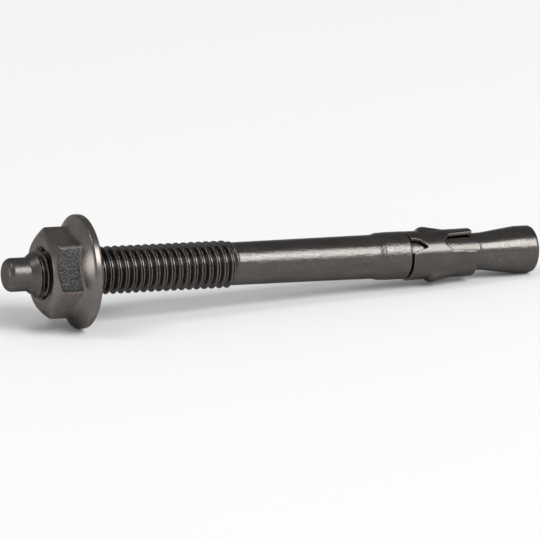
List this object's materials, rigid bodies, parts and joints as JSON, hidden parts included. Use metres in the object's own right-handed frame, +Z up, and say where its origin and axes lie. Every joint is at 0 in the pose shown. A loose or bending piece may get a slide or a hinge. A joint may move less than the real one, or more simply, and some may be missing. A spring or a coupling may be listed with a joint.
{
  "type": "wedge anchor",
  "caption": "Stainless wedge anchor lying down: threaded stud with plain hammer point, flange nut, and an expansion clip on the neck before the cone.",
  "frame": {"origin": "on the surface that the anchor lies on, under the centre of its bounding box", "axes": "+Z up; +X along the anchor, from the hammer point towards the cone, from which the bolt's axis dips by 3.75 degrees because the flange rim and the tip both touch the surface; -Y is the front"},
  "size_m": [0.0708, 0.0138, 0.0139],
  "materials": {
    "stud_steel": "satin",
    "clip_steel": "satin",
    "nut_steel": "satin"
  },
  "bodies": {
    "anchor_bolt": {"anchor_bolt": "stud_steel"},
    "expansion_clip": {"expansion_clip": "clip_steel"},
    "flange_nut": {"flange_nut": "nut_steel"}
  },
  "joints": [
    {"name": "clip_travel", "type": "slide", "parent": "anchor_bolt", "child": "expansion_clip", "axis": [0.9979, 0, -0.0653], "range_m": [-0.0002, 0.001]},
    {"name": "nut_turn", "type": "hinge", "parent": "expansion_clip", "child": "flange_nut", "pos_m": [-0.02524, 0, 0.0069], "axis": [0.9979, 0, -0.0653], "range_deg": [-72, 360]}
  ],
  "couplings": [
    {"joint": "nut_turn", "follows": "clip_travel", "rad_per_m": 6283.2}
  ]
}
